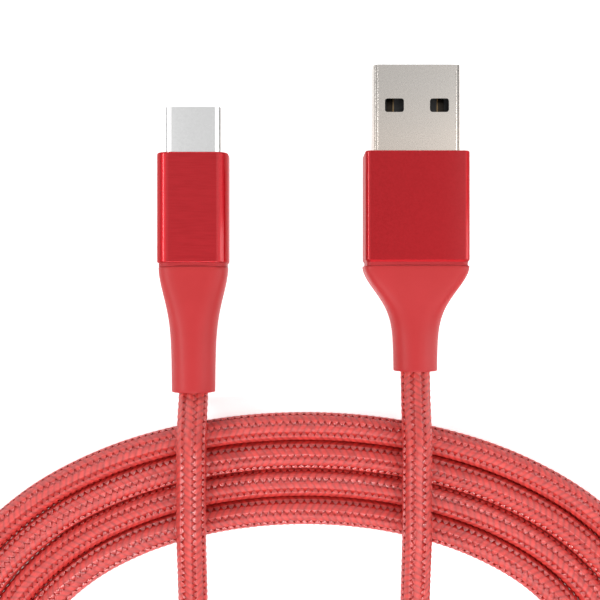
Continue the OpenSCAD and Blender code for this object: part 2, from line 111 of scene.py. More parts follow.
def startEdit(piece, kind):
    activate(piece)
    bpy.ops.object.mode_set(mode="EDIT")
    bpy.ops.mesh.select_mode(type=kind)
    return bmesh.from_edit_mesh(piece.data)


def endEdit():
    bpy.ops.object.mode_set(mode="OBJECT")


def pickFaces(piece, test):
    mesh = startEdit(piece, "FACE")
    for face in mesh.faces:
        face.select_set(test(face.calc_center_median(), face.normal))
    mesh.select_flush_mode()
    bmesh.update_edit_mesh(piece.data)


def pickEdges(piece, test):
    mesh = startEdit(piece, "EDGE")
    for edge in mesh.edges:
        a, b = (v.co for v in edge.verts)
        edge.select_set(test(a, b))
    bmesh.update_edit_mesh(piece.data)


def pickVertices(piece, test):
    mesh = startEdit(piece, "VERT")
    for vertex in mesh.verts:
        vertex.select_set(test(vertex.co))
    mesh.select_flush_mode()
    bmesh.update_edit_mesh(piece.data)


# edges that run along a plug, and edges that stand up
def along(a, b):
    return abs(b.y - a.y) > mostly * (b - a).length


def upright(a, b):
    return abs(b.z - a.z) > mostly * (b - a).length


def bevelLong(piece, radius, segments):
    pickEdges(piece, along)
    bpy.ops.mesh.bevel(offset=radius, segments=segments, affect="EDGES", clamp_overlap=False)
    endEdit()


# the outline of the front or back end gets its own bevel
def bevelEnd(piece, y, width, segments):
    pickEdges(piece, lambda a, b: same(a.y, y) and same(b.y, y))
    bpy.ops.mesh.bevel(offset=width, segments=segments, affect="EDGES")
    endEdit()


def smooth(piece, angle):
    activate(piece)
    bpy.ops.object.shade_smooth_by_angle(angle=math.radians(angle))


# flat faces stay flat beside their rounded edges
def flattenShading(piece):
    weighted = piece.modifiers.new("weighted", "WEIGHTED_NORMAL")
    weighted.weight = 100
    weighted.keep_sharp = True
    applyModifiers(piece)


def cut(piece, cutters):
    for cutter in cutters:
        modifier = piece.modifiers.new("cut", "BOOLEAN")
        modifier.operation = "DIFFERENCE"
        modifier.solver = "EXACT"
        modifier.object = cutter
        applyModifiers(piece)
        bpy.data.objects.remove(cutter)


def roundedBar(name, width, height, radius, yFrom, yTo, centre, segments=6):
    bar = startPiece(name, (width, yTo - yFrom, height), Vector((centre.x, (yFrom + yTo) / 2, centre.z)))
    bevelLong(bar, radius, segments)
    return bar


def dress(piece, material):
    piece.data.materials.clear()
    piece.data.materials.append(material)


def finishPiece(piece, body, material, slot, *nodes):
    dress(piece, material)
    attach(piece, body)
    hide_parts(*nodes)


# camera

camera = {"lens": 62.76, "above": (-1.755, -9.785, 150), "nearest": 5}


def makeCamera():
    clearSelection()
    bpy.ops.object.camera_add(location=place(*camera["above"]), rotation=(0, 0, 0))
    lookDown = bpy.context.object
    lookDown.data.lens = camera["lens"]
    lookDown.data.clip_start = camera["nearest"] * mm
    bpy.context.scene.camera = lookDown


makeCamera()
print("camera ready")


# building blocks of the materials and the sky

class NodeTree:
    def __init__(self, tree):
        self.nodes = tree.nodes
        self.links = tree.links

    def add(self, kind, **settings):
        node = self.nodes.new(kind)
        for key, value in settings.items():
            setattr(node, key, value)
        return node

    def join(self, source, target):
        self.links.new(source, target)

    def calc(self, operation, a, b=None, c=None):
        node = self.add("ShaderNodeMath", operation=operation)
        for socket, value in zip(node.inputs, (a, b, c)):
            if value is None:
                continue
            if isinstance(value, (int, float)):
                socket.default_value = value
            else:
                self.join(value, socket)
        return node.outputs[0]

    def fade(self, value, low, high, start=0.0, end=1.0, curve="SMOOTHSTEP"):
        node = self.add("ShaderNodeMapRange", interpolation_type=curve)
        self.join(value, node.inputs["Value"])
        for socket, number in zip(("From Min", "From Max", "To Min", "To Max"), (low, high, start, end)):
            node.inputs[socket].default_value = number
        return node.outputs["Result"]

    def coordinates(self, kind="Object"):
        return self.add("ShaderNodeTexCoord").outputs[kind]

    def split(self, source):
        node = self.add("ShaderNodeSeparateXYZ")
        self.join(source, node.inputs[0])
        return node.outputs

    # 1 for the camera, and 1 for all that the camera, gloss or glass looks at
    def rays(self):
        path = self.add("ShaderNodeLightPath").outputs
        seen = self.calc("MAXIMUM", path["Is Camera Ray"], path["Is Glossy Ray"])
        return path["Is Camera Ray"], self.calc("MAXIMUM", seen, path["Is Transmission Ray"])


class Shader(NodeTree):
    def __init__(self, name, **settings):
        self.material = bpy.data.materials.new(name)
        self.material.use_nodes = True
        super().__init__(self.material.node_tree)
        self.surface = self.nodes["Principled BSDF"]
        for socket, value in settings.items():
            self.put(socket, value)

    def put(self, socket, value):
        self.surface.inputs[socket].default_value = value

    def blendColours(self, share, a, b):
        node = self.add("ShaderNodeMix", data_type="RGBA")
        self.join(share, node.inputs[0])
        for socket, value in zip((node.inputs[6], node.inputs[7]), (a, b)):
            if isinstance(value, tuple):
                socket.default_value = (*value, 1)
            else:
                self.join(value, socket)
        return node.outputs[2]

    def noise(self, scale, detail=2, stretch=(1, 1, 1)):
        mapping = self.add("ShaderNodeMapping")
        mapping.inputs["Scale"].default_value = stretch
        self.join(self.coordinates(), mapping.inputs["Vector"])
        texture = self.add("ShaderNodeTexNoise")
        texture.inputs["Scale"].default_value = scale
        texture.inputs["Detail"].default_value = detail
        self.join(mapping.outputs[0], texture.inputs["Vector"])
        return texture.outputs["Fac"]

    def bump(self, height, strength, distance):
        node = self.add("ShaderNodeBump")
        node.inputs["Strength"].default_value = strength
        node.inputs["Distance"].default_value = distance
        self.join(height, node.inputs["Height"])
        self.join(node.outputs[0], self.surface.inputs["Normal"])

    def colour(self, source):
        self.join(source, self.surface.inputs["Base Color"])

    def tint(self, source):
        node = self.add("ShaderNodeMix", data_type="RGBA", blend_type="MULTIPLY")
        node.inputs[0].default_value = 1
        self.join(self.surface.inputs["Base Color"].links[0].from_socket, node.inputs[6])
        self.join(source, node.inputs[7])
        self.colour(node.outputs[2])

    def roughness(self, source):
        self.join(source, self.surface.inputs["Roughness"])


# the cord: one braided tube from boot to boot

cord = {
    "diameter": 4,
    "tuck": 1,                      # how far each end reaches into its boot
    "deviceRoute": [
        (-16.7, -26, 4.8), (-16.7, -29.5, 6.2), (-16.7, -36, 6.2), (-16.7, -42, 6.2),
        (-16.7, -50, 4.2), (-16.7, -58, 2.4), (-16.7, -64, 2), (-16.7, -70, 2),
        (-15.4, -76, 2), (-11.8, -81.4, 2), (-6.4, -85, 2)],
    "hostRoute": [
        (14.35, -24.5, 4.7), (14.35, -29, 6.2), (14.35, -36, 6.2), (14.35, -42, 6.2),
        (14.35, -49, 4.4), (14.35, -56, 2.8), (14.35, -62, 2.3), (14.35, -68, 2.8),
        (14.35, -75, 4.4), (14.35, -82, 6.2), (14.35, -88, 6.2), (12.9, -94, 6.2),
        (8.6, -99.4, 5.8), (3, -102, 3.4)],
    "coilHalfLength": 38.7,         # of the oval that the inner turn starts on
    "coilHalfWidth": 22.3,
    "coilBack": 63.7,               # from the origin back to the middle of the oval
    "stepAtEnds": 4.1,              # from turn to turn at the ends of the oval
    "stepAtSides": 3.92,            # and at its long sides
    "turns": 4,
    "trim": 0.02,                   # share of a turn left out at either end, where a lead joins
    "perTurn": 24,                  # points on the route for each turn
    "lean": 6,                      # degrees that the coil's ends lean away from the next turn
    "fineness": 24,                 # points worked out between two of the route
}

braid = {
    "strands": 16,                  # half of them lean one way and half the other
    "stitch": 0.96,                 # from stitch to stitch along the cord
    "swell": 0.08,                  # how far the stitches stand proud of the cord's own radius
    "groove": 0.075,                # how far a stitch drops at its sides
    "dive": 0.28,                   # and at its tips, where it goes under the next column
    "turned": 40,                   # degrees that the pattern is turned round the cord
    "twist": 0.09,                  # and how much more for each millimetre along it
}


def spiralPoint(t):
    turned = math.radians(270 + 360 * t)
    c, s = math.cos(turned), math.sin(turned)
    a, b = cord["coilHalfLength"], cord["coilHalfWidth"]
    outwards = Vector((b * c, a * s)).normalized()
    step = cord["stepAtSides"] + (cord["stepAtEnds"] - cord["stepAtSides"]) * c * c
    return Vector((a * c + step * t * outwards.x, b * s + step * t * outwards.y - cord["coilBack"],
                   cord["diameter"] / 2))


# the coil's two ends run straight for one diameter, leaning away from the next turn
def coilEnd(t, way):
    nudge = 0.001
    heading = (spiralPoint(t + nudge) - spiralPoint(t - nudge)).normalized()
    lean = math.radians(cord["lean"])
    c, s = math.cos(lean), math.sin(lean)
    leaned = Vector((heading.x * c + heading.y * s, heading.y * c - heading.x * s, 0))
    return spiralPoint(t) + way * cord["diameter"] * leaned


def bootExit(plug):
    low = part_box(plug + "_boot")[0]
    axis = middle(plug + "_housing")
    return Vector((axis.x, low.y, axis.z)) / mm


def cordRoute():
    first, last = cord["trim"], cord["turns"] - cord["trim"]
    rings = round((last - first) * cord["perTurn"])
    turns = [spiralPoint(first + (last - first) * i / rings) for i in range(rings + 1)]
    inward = Vector((0, cord["tuck"], 0))
    deviceEnd, hostEnd = bootExit("device"), bootExit("host")
    points = [deviceEnd + inward, deviceEnd, *map(Vector, cord["deviceRoute"]), coilEnd(first, -1)]
    points += turns + [coilEnd(last, 1)]
    points += [*map(Vector, reversed(cord["hostRoute"])), hostEnd, hostEnd + inward]
    return points


# an even run of points on a smooth line through the route
def smoothLine(points, step):
    p = np.array([points[0] * 2 - points[1], *points, points[-1] * 2 - points[-2]], float)
    dense = []
    for i in range(1, len(p) - 2):
        knots = np.cumsum([0, *(np.linalg.norm(p[i + k] - p[i + k - 1]) ** 0.5 for k in (0, 1, 2))])
        t = np.linspace(knots[1], knots[2], cord["fineness"], endpoint=False)[:, None]

        def between(low, high, a, b):
            share = (t - knots[low]) / (knots[high] - knots[low])
            return (1 - share) * a + share * b
        one = [between(k, k + 1, p[i - 1 + k], p[i + k]) for k in range(3)]
        two = [between(k, k + 2, one[k], one[k + 1]) for k in range(2)]
        dense.append(between(1, 2, *two))
    dense = np.vstack([*dense, p[-2:-1]])
    run = np.concatenate([[0], np.cumsum(np.linalg.norm(np.diff(dense, axis=0), axis=1))])
    count = int(run[-1] / step)
    even = np.linspace(0, run[-1], count + 1)
    return np.stack([np.interp(even, run, dense[:, k]) for k in range(3)], axis=1), run[-1]


# two directions square to the line at each point, carried along without twist
def carriedFrames(line):
    heading = np.gradient(line, axis=0)
    heading /= np.linalg.norm(heading, axis=1)[:, None]
    side = np.zeros_like(line)
    side[0] = np.cross([0, 0, 1], heading[0])
    for i in range(1, len(line)):
        side[i] = side[i - 1] - heading[i] * side[i - 1].dot(heading[i])
        side[i] /= np.linalg.norm(side[i])
    return side, np.cross(heading, side)


# The braid is a net of crossings. Its columns lean the same way two by two, and a stitch covers two
# crossings with a ridge between their middles. Every corner of the net is there twice: high between two
# stitches of one column, and deep as the tip of a stitch that dives under them.
def braidedTube(name, points, radius):
    line, length = smoothLine(points, braid["stitch"] / 2)
    side, up = carriedFrames(line)
    strands, rows = braid["strands"], len(line)
    row, strand = np.meshgrid(np.arange(rows), np.arange(strands), indexing="ij")
    turned = braid["turned"] + braid["twist"] * row * braid["stitch"] / 2
    angle = 2 * math.pi * strand / strands + np.radians(turned)
    out = np.cos(angle)[..., None] * side[:, None] + np.sin(angle)[..., None] * up[:, None]
    isMiddle = (row + strand) % 2 == 0
    top = radius + braid["swell"]
    upper = line[:, None] + (top - np.where(isMiddle, 0, braid["groove"]))[..., None] * out
    lower = line[:, None] + (top - braid["dive"]) * out
    upper, lower = upper.reshape(-1, 3), lower.reshape(-1, 3)
    # each square of the net has a middle and a corner on its left, and the same on its right
    m, k = (grid.ravel() for grid in np.meshgrid(np.arange(rows - 1), np.arange(strands), indexing="ij"))
    first = (m + k) % 2 == 0
    near, far = np.where(first, m, m + 1), np.where(first, m + 1, m)
    right = (k + 1) % strands
    leftMid, leftHigh = near * strands + k, far * strands + k
    rightMid, rightHigh = far * strands + right, near * strands + right
    leftDeep, rightDeep = leftHigh + rows * strands, rightHigh + rows * strands
    rising = k % 4 < 2
    seam = k % 2 == 1
    ridge = ~seam & (first == rising)
    groove = ~seam & ~ridge
    halfway = 2 * rows * strands + np.cumsum(seam) - 1
    between = (upper[leftHigh] + upper[rightHigh] + lower[leftHigh] + lower[rightHigh])[seam] / 4
    # which squares, the corners of the triangle, and the stitch it belongs to
    triangles = [
        (ridge, (leftMid, rightMid, leftHigh), 0), (ridge, (leftMid, rightHigh, rightMid), 0),
        (groove, (leftMid, leftHigh, rightHigh), 0), (groove, (rightMid, rightHigh, leftHigh), 1),
        (seam, (leftMid, leftHigh, halfway), 0), (seam, (leftMid, halfway, rightDeep), 0),
        (seam, (rightMid, rightHigh, halfway), 1), (seam, (rightMid, halfway, leftDeep), 1),
        (seam, (leftHigh, leftDeep, halfway), 1), (seam, (rightHigh, rightDeep, halfway), 0)]
    faces = np.vstack([np.stack(corners, axis=1)[where] for where, corners, owner in triangles])
    vertices = np.vstack([upper, lower, between]) * mm
    mesh = bpy.data.meshes.new(name)
    mesh.from_pydata(vertices.tolist(), [], faces.tolist())
    # along and across each stitch, for the lie of the yarn
    spot = np.vstack([np.stack([row.ravel(), strand.ravel()], axis=1)] * 2
                     + [np.stack([m, k], axis=1)[seam] + 0.5]).astype(float)[faces]
    crossing = np.ptp(spot[..., 1], axis=1) > strands / 2
    spot[..., 1] += np.where(crossing[:, None] & (spot[..., 1] < strands / 2), strands, 0)
    starts = (np.stack([near, k], axis=1), np.stack([far, k + 1], axis=1))
    owners = np.vstack([starts[owner][where] for where, corners, owner in triangles])
    second = owners[:, 1] % 2
    lean = np.where(owners[:, 1] % 4 < 2, 1, -1)
    step = spot - (owners - np.stack([second * lean, second], axis=1))[:, None]
    alongStitch = (step[..., 1] + lean[:, None] * step[..., 0]) / 2 + 0.5
    acrossStitch = (step[..., 1] - lean[:, None] * step[..., 0]) / 2 + 0.5
    flat = np.stack([alongStitch, acrossStitch], axis=-1)
    mesh.uv_layers.new(name="braid").data.foreach_set("uv", flat.astype(np.float32).ravel())
    # every stitch keeps its own shading
    mesh.shade_smooth()
    ends = np.zeros(2 * len(mesh.edges), int)
    mesh.edges.foreach_get("vertices", ends)
    outline = np.ones(len(vertices), bool)
    outline[:rows * strands] = ~isMiddle.ravel()
    sharp = outline[ends.reshape(-1, 2)].all(axis=1)
    mesh.attributes.new("sharp_edge", "BOOLEAN", "EDGE").data.foreach_set("value", sharp)
    piece = bpy.data.objects.new(name, mesh)
    bpy.context.scene.collection.objects.link(piece)
    # unused corners go, the two ends are closed and the faces turned outwards
    activate(piece)
    bpy.ops.object.mode_set(mode="EDIT")
    bpy.ops.mesh.select_all(action="SELECT")
    bpy.ops.mesh.delete_loose(use_verts=True, use_edges=False, use_faces=False)
    bpy.ops.mesh.select_all(action="SELECT")
    bpy.ops.mesh.fill_holes(sides=0)
    bpy.ops.mesh.select_all(action="SELECT")
    bpy.ops.mesh.normals_make_consistent(inside=False)
    endEdit()
    return piece, line, length


braidLook = {
    "thread": (0.79, 0.049, 0.039), "darkSpotAndShade": (0.12, 0.003, 0.006), "paintedSheen": (0.95, 0.17, 0.15),
    "yarns": 6,                     # side by side in a stitch
    "yarnDepth": 0.01,              # relief in millimetres
    "tipDepth": 0.24,
    "yarnSheen": 0.12,               # painted sheen: how much paler the crest of each yarn gets
    "fluffSize": 1100, "fluffDark": 0.3,
    "sideShade": 0.34,              # painted shade: how dark a stitch gets at its sides
    "tipShade": 0.36,               # and painted shade at its tips, where they dive under the next column
    "tipRoughness": 0.2, "roughness": 0.45,
    "gloss": 0.85,
}


def braidMaterial():
    look = Shader("braidedNylon")
    look.put("Specular IOR Level", braidLook["gloss"])
    uv = look.split(look.add("ShaderNodeUVMap", uv_map="braid").outputs[0])
    # 0 at either tip of a stitch and 1 where the tip begins
    fromTip = look.calc("ADD", uv[0], uv[1])
    tip = look.calc("MINIMUM", fromTip, look.calc("SUBTRACT", 3.0, fromTip))
    offCentre = look.calc("ABSOLUTE", look.calc("SUBTRACT", uv[1], 0.5))
    yarn = look.calc("SINE", look.calc("MULTIPLY", uv[1], 2 * math.pi * braidLook["yarns"]))
    fluff = look.noise(braidLook["fluffSize"], 3)
    # painted sheen on the crest of each yarn
    paintedSheen = look.fade(yarn, -1.0, 1.2, 0.0, braidLook["yarnSheen"])
    tone = look.blendColours(paintedSheen, braidLook["thread"], braidLook["paintedSheen"])
    # random darker spots of fluff
    dim = look.fade(fluff, 0.3, 0.65, braidLook["fluffDark"], 0.0)
    tone = look.blendColours(dim, tone, braidLook["darkSpotAndShade"])
    # painted shade at the sides of each stitch and at its tips, where they dive under the next column
    side = look.fade(offCentre, 0.15, 0.5, 0.0, braidLook["sideShade"])
    dark = look.calc("MAXIMUM", look.fade(tip, 0.0, 0.9, braidLook["tipShade"], 0.0), side)
    look.colour(look.blendColours(dark, tone, braidLook["darkSpotAndShade"]))
    look.roughness(look.fade(tip, 0.8, 1.0, braidLook["tipRoughness"], braidLook["roughness"]))
    dive = look.calc("MULTIPLY", look.calc("MINIMUM", tip, 1.0), braidLook["tipDepth"])
    height = look.calc("ADD", dive, look.calc("MULTIPLY", yarn, braidLook["yarnDepth"]))
    look.bump(height, 1.0, mm)
    return look.material


braidedNylon = braidMaterial()
braidedCord, cordLine, cordLength = braidedTube("braidedCord", cordRoute(), cord["diameter"] / 2)
finishPiece(braidedCord, "cord", braidedNylon, "braid_red", "device_lead", "coil", "host_lead")


# finishes of the plugs

anodised = {
    "host": {"deep": (0.345, 0.004, 0.008), "worn": (0.385, 0.007, 0.012),
             "grain": 3600, "stretch": (1, 1, 1), "depth": 0.16},
    "device": {"deep": (0.385, 0.008, 0.013), "worn": (0.42, 0.012, 0.018),
               "grain": 5200, "stretch": (0.07, 1, 1), "depth": 0.14},
}
anodisedGloss = {"edge": (0.75, 0.12, 0.13), "coat": 0.26, "coatRoughness": 0.1, "coatIor": 1.77,
                 "roughness": (0.42, 0.5)}
softFinish = {
    "bootRubber": {"colour": (0.53, 0.032, 0.034), "worn": (0.555, 0.035, 0.038), "roughness": 0.45},
    "ringPlastic": {"colour": (0.46, 0.025, 0.03), "worn": (0.5, 0.03, 0.035), "roughness": 0.5},
}
steelFinish = {
    "hostSteel": {"colour": (0.61, 0.61, 0.61), "streak": (0.635, 0.635, 0.635),
                  "roughness": 0.27, "grain": 4200, "stretch": (1, 1, 1)},
    "deviceSteel": {"colour": (0.785, 0.785, 0.785), "streak": (0.80, 0.80, 0.80),
                    "roughness": 0.15, "grain": 3000, "stretch": (1, 1, 1)},
    "springSteel": {"colour": (0.55, 0.55, 0.55), "streak": (0.62, 0.62, 0.62),
                    "roughness": 0.25, "grain": 2600, "stretch": (0.3, 1, 1)},
}
plating = {
    "warm": (0.98, 0.88, 0.79),     # painted reflection of the red housing, warmer beside it
    "cool": (0.86, 0.81, 0.76),     # at the mouth
    "cloudSize": 260, "cloudReach": 3,
    "foldAt": 5.67,                 # from the shell's middle to the folds of the sheet
    # painted shadow along the folds of the sheet
    "foldFrom": 0.07, "foldTo": 0.16, "foldShadow": (0.4, 0.4, 0.4),
}
strip = {
    "goldLength": 4.2,              # from the shell's mouth
    "goldFade": 0.4,
    "glintAt": 3,                 # from the plug's middle to the painted glint line
    "glintWidth": 0.16,
    # painted shade on the strips behind the gold, and the colour of the painted glint
    "stripShade": ((0.018, 0.015, 0.013), (0.03, 0.025, 0.02)),
    "edgeGlint": ((0.24, 0.17, 0.09), (0.18, 0.12, 0.06)),
    "gold": ((0.78, 0.55, 0.24), (0.70, 0.48, 0.2)),
}
# colour, colour of the specks, roughness and metal
plainFinish = {
    "carrierBlack": ((0.012, 0.012, 0.013), (0.02, 0.02, 0.021), 0.5, 0.0),
    "contactGold": ((0.78, 0.55, 0.24), (0.70, 0.48, 0.2), 0.25, 1.0),
    "boardGreen": ((0.02, 0.13, 0.05), (0.015, 0.10, 0.04), 0.4, 0.0),
    "resistorBlack": ((0.03, 0.03, 0.035), (0.02, 0.02, 0.02), 0.4, 0.0),
    "coreNylon": ((0.80, 0.78, 0.72), (0.74, 0.72, 0.66), 0.5, 0.0),
    "wireRed": ((0.35, 0.03, 0.03), (0.30, 0.02, 0.02), 0.4, 0.0),
}
noiseSize = {"softCloud": 180, "softGrain": 5200, "plainSpeck": 1500, "stripSpeck": 2200}
softGloss = 0.32
relief = {"soft": 0.12, "steel": 0.015, "plain": 0.1}
reliefDepth = 0.01 * mm
wide, narrow = (0.25, 0.75), (0.3, 0.7)     # the values of a noise that two tones fade between


def anodisedMaterial(name, deep, worn, grain, stretch, depth):
    look = Shader(name, Metallic=1.0)
    look.put("Specular Tint", (*anodisedGloss["edge"], 1))
    look.put("Coat Weight", anodisedGloss["coat"])
    look.put("Coat Roughness", anodisedGloss["coatRoughness"])
    look.put("Coat IOR", anodisedGloss["coatIor"])
    speck = look.noise(grain, 3, stretch)
    look.colour(look.blendColours(look.fade(speck, *wide), deep, worn))
    look.roughness(look.fade(speck, *narrow, *anodisedGloss["roughness"]))
    look.bump(speck, depth, reliefDepth)
    return look.material


def softMaterial(name, colour, worn, roughness):
    look = Shader(name)
    look.put("Specular IOR Level", softGloss)
    cloud = look.noise(noiseSize["softCloud"], 3)
    look.colour(look.blendColours(look.fade(cloud, *narrow), colour, worn))
    speck = look.noise(noiseSize["softGrain"], 2)
    look.roughness(look.fade(speck, *narrow, roughness - 0.05, roughness + 0.06))
    look.bump(speck, relief["soft"], reliefDepth)
    return look.material


def steelMaterial(name, colour, streak, roughness, grain, stretch):
    look = Shader(name, Metallic=1.0)
    speck = look.noise(grain, 2, stretch)
    look.colour(look.blendColours(look.fade(speck, *wide), colour, streak))
    look.roughness(look.fade(speck, *wide, roughness - 0.02, roughness + 0.03))
    look.bump(speck, relief["steel"], reliefDepth)
    return look


# painted reflection: the plating is tinted warmer towards the housing; painted shadow: it is darker along the
# folds of the sheet
def paintPlatingReflectionAndShadow(look):
    spot = look.split(look.coordinates())
    cloud = look.calc("MULTIPLY", look.noise(plating["cloudSize"], 2), plating["cloudReach"] * mm)
    warmAt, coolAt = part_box("host_housing")[1].y + mm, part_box("host_shell")[1].y
    share = look.fade(look.calc("ADD", spot[1], cloud), warmAt, coolAt)
    look.tint(look.blendColours(share, plating["warm"], plating["cool"]))
    away = look.calc("ABSOLUTE", look.calc("SUBTRACT", spot[0], middle("host_shell").x))
    fromFold = look.calc("ABSOLUTE", look.calc("SUBTRACT", away, plating["foldAt"] * mm))
    # painted shadow in the fold of each long side
    bright = look.fade(fromFold, plating["foldFrom"] * mm, plating["foldTo"] * mm)
    look.tint(look.blendColours(bright, plating["foldShadow"], (1, 1, 1)))


def plainMaterial(name, colour, dark, roughness, metal):
    look = Shader(name, Metallic=metal)
    speck = look.noise(noiseSize["plainSpeck"], 3)
    look.colour(look.blendColours(look.fade(speck, *narrow), colour, dark))
    look.roughness(look.fade(speck, *narrow, roughness - 0.06, roughness + 0.06))
    look.bump(speck, relief["plain"], reliefDepth)
    return look.material


# gold at the mating end only; behind it the strips carry painted shade, with a painted glint along the inner
# edge of each
def stripMaterial(name):
    look = Shader(name, Metallic=1.0, Roughness=0.3)
    spot = look.split(look.coordinates())
    away = look.calc("ABSOLUTE", look.calc("SUBTRACT", spot[0], middle("host_shell").x))
    fromSide = look.calc("ABSOLUTE", look.calc("SUBTRACT", away, strip["glintAt"] * mm))
    # painted glint: a thin bright line along the inner edge of each strip
    glintLine = look.calc("LESS_THAN", fromSide, strip["glintWidth"] * mm)
    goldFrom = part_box("host_shell")[1].y - strip["goldLength"] * mm
    plated = look.fade(spot[1], goldFrom, goldFrom + strip["goldFade"] * mm)
    speck = look.noise(noiseSize["stripSpeck"], 3)
    stripShade, edgeGlint, gold = (look.blendColours(look.fade(speck, *narrow), *strip[metal])
                            for metal in ("stripShade", "edgeGlint", "gold"))
    look.colour(look.blendColours(plated, look.blendColours(glintLine, stripShade, edgeGlint), gold))
    look.bump(speck, relief["plain"], reliefDepth)
    return look.material


finish = {"braidedNylon": braidedNylon}
for plug, made in anodised.items():
    name = "anodised" + plug.capitalize()
    finish[name] = anodisedMaterial(name, **made)
for name, made in softFinish.items():
    finish[name] = softMaterial(name, **made)
for name, made in steelFinish.items():
    steel = steelMaterial(name, **made)
    if name == "hostSteel":
        paintPlatingReflectionAndShadow(steel)
    finish[name] = steel.material
for name, made in plainFinish.items():
    finish[name] = plainMaterial(name, *made)
finish["hostStrip"] = stripMaterial("hostStrip")

slotFinish = {
    "shell_steel": "hostSteel", "anodised_red": "anodisedHost", "boot_red": "bootRubber",
    "ring_red": "ringPlastic", "braid_red": "braidedNylon", "carrier_black": "carrierBlack",
    "contact_gold": "contactGold", "spring_steel": "springSteel", "board_green": "boardGreen",
    "resistor_black": "resistorBlack", "core_white": "coreNylon", "wire_red": "wireRed",
}
for part in frame["record"]["subparts"]:
    isStrip = part["node"] == "host_contacts"
    dress(frame["nodes"][part["node"]], finish["hostStrip" if isStrip else slotFinish[part["material_slot"]]])
print("finishes ready:", len(finish))


# metal shells and housings

hostShell = {
    "wall": 0.3, "corner": 0.6, "cornerSteps": 6, "edge": 0.05, "edgeSteps": 2,
    "window": (2.6, 1.86), "windowCorner": 0.35, "windowSteps": 6,
    "pitch": 6.2,                   # between the middles of the two windows
    "back": 5.6,                    # from the mouth to the middles of the windows
    "fold": 0.05, "foldDepth": 0.04, "foldSteps": 2,
}
deviceShell = {"wall": 0.25, "cornerSteps": 16, "edge": 0.08, "edgeSteps": 3}
housings = {
    "host": {"corner": 0.8, "cornerSteps": 8, "frontEdge": 0.18, "frontSteps": 3,
             "rearEdge": 0.2, "rearSteps": 1, "rearSlope": 0.08,
             "wall": 0.6, "frontWall": 1.0, "shellGap": 0.05, "mouthSteps": 12},
    "device": {"corner": 1.8, "cornerSteps": 12, "frontEdge": 0.22, "frontSteps": 3,
               "rearEdge": 0.2, "rearSteps": 3, "rearSlope": 0,
               "wall": 0.6, "frontWall": 1.0, "shellGap": 0.05, "mouthSteps": 12},
}
roundSide = 0.4999                  # radius of a round side, as a share of the height
edgeAngle = 50                      # degrees from which a shell's edge is broken
windowBar = 20                      # long enough to go through both faces


def shellOutline(plug, gap, yFrom, yTo, steps):
    low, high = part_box(plug + "_shell")
    width, height = high.x - low.x + 2 * gap * mm, high.z - low.z + 2 * gap * mm
    corner = (hostShell["corner"] + gap) * mm if plug == "host" else height * roundSide
    return roundedBar("shellOutline", width, height, corner, yFrom, yTo, (low + high) / 2, steps)


def makeHousing(plug):
    made = housings[plug]
    low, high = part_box(plug + "_housing")
    centre = (low + high) / 2
    piece = roundedBar(plug + "Housing", high.x - low.x, high.z - low.z, made["corner"] * mm,
                       low.y, high.y, centre, made["cornerSteps"])
    bevelEnd(piece, high.y, made["frontEdge"] * mm, made["frontSteps"])
    bevelEnd(piece, low.y, made["rearEdge"] * mm, made["rearSteps"])
    chamferFrom = low.y + made["rearEdge"] * mm
    pickVertices(piece, lambda point: same(point.y, chamferFrom))
    bpy.ops.transform.translate(value=(0, made["rearSlope"] * mm, 0))
    endEdit()
    wall = 2 * made["wall"] * mm
    hollow = roundedBar("hollow", high.x - low.x - wall, high.z - low.z - wall,
                        (made["corner"] - made["wall"]) * mm,
                        low.y - mm, high.y - made["frontWall"] * mm, centre)
    mouth = shellOutline(plug, made["shellGap"], high.y - 2 * made["frontWall"] * mm, high.y + mm,
                         made["mouthSteps"])
    cut(piece, [hollow, mouth])
    smooth(piece, metalAngle)
    flattenShading(piece)
    finishPiece(piece, plug + "_plug", finish["anodised" + plug.capitalize()], "anodised_red",
                plug + "_housing")


for plug in housings:
    makeHousing(plug)
print("housings made")


def openTube(piece, wall):
    low, high = min(v.co.y for v in piece.data.vertices), max(v.co.y for v in piece.data.vertices)
    pickFaces(piece, lambda c, n: abs(n.y) > mostly and (same(c.y, low) or same(c.y, high)))
    bpy.ops.mesh.delete(type="FACE")
    endEdit()
    solid = piece.modifiers.new("wall", "SOLIDIFY")
    solid.thickness = wall * mm
    solid.offset = -1
    solid.use_even_offset = True
    applyModifiers(piece)


def breakEdges(piece, width, segments):
    bevel = piece.modifiers.new("edge", "BEVEL")
    bevel.width = width * mm
    bevel.segments = segments
    bevel.limit_method = "ANGLE"
    bevel.angle_limit = math.radians(edgeAngle)
    bevel.use_clamp_overlap = True
    applyModifiers(piece)


def finishShell(piece, plug, made):
    breakEdges(piece, made["edge"], made["edgeSteps"])
    smooth(piece, metalAngle)
    flattenShading(piece)
    finishPiece(piece, plug + "_plug", finish[plug + "Steel"], "shell_steel", plug + "_shell")


def windowCutter(x, y, centre):
    width, length = hostShell["window"]
    cutter = startPiece("window", (width * mm, length * mm, windowBar * mm), Vector((x, y, centre.z)))
    pickEdges(cutter, upright)
    bpy.ops.mesh.bevel(offset=hostShell["windowCorner"] * mm, segments=hostShell["windowSteps"],
                       affect="EDGES")
    endEdit()
    return cutter


# the sheet is pressed in by a fine groove where each long side folds
def foldSheet(piece, centre, faces, foldAt):
    for face in faces:
        inwards = hostShell["foldDepth"] * mm * (1 if face < centre.z else -1)
        pickEdges(piece, lambda a, b: along(a, b) and same(a.z, face) and same(abs(a.x - centre.x), foldAt))
        bpy.ops.mesh.bevel(offset=hostShell["fold"] * mm, segments=hostShell["foldSteps"], affect="EDGES")
        endEdit()
        pickVertices(piece, lambda point: same(point.z, face, 2e-6)
                     and same(abs(point.x - centre.x), foldAt, 1e-5))
        bpy.ops.transform.translate(value=(0, 0, inwards))
        endEdit()


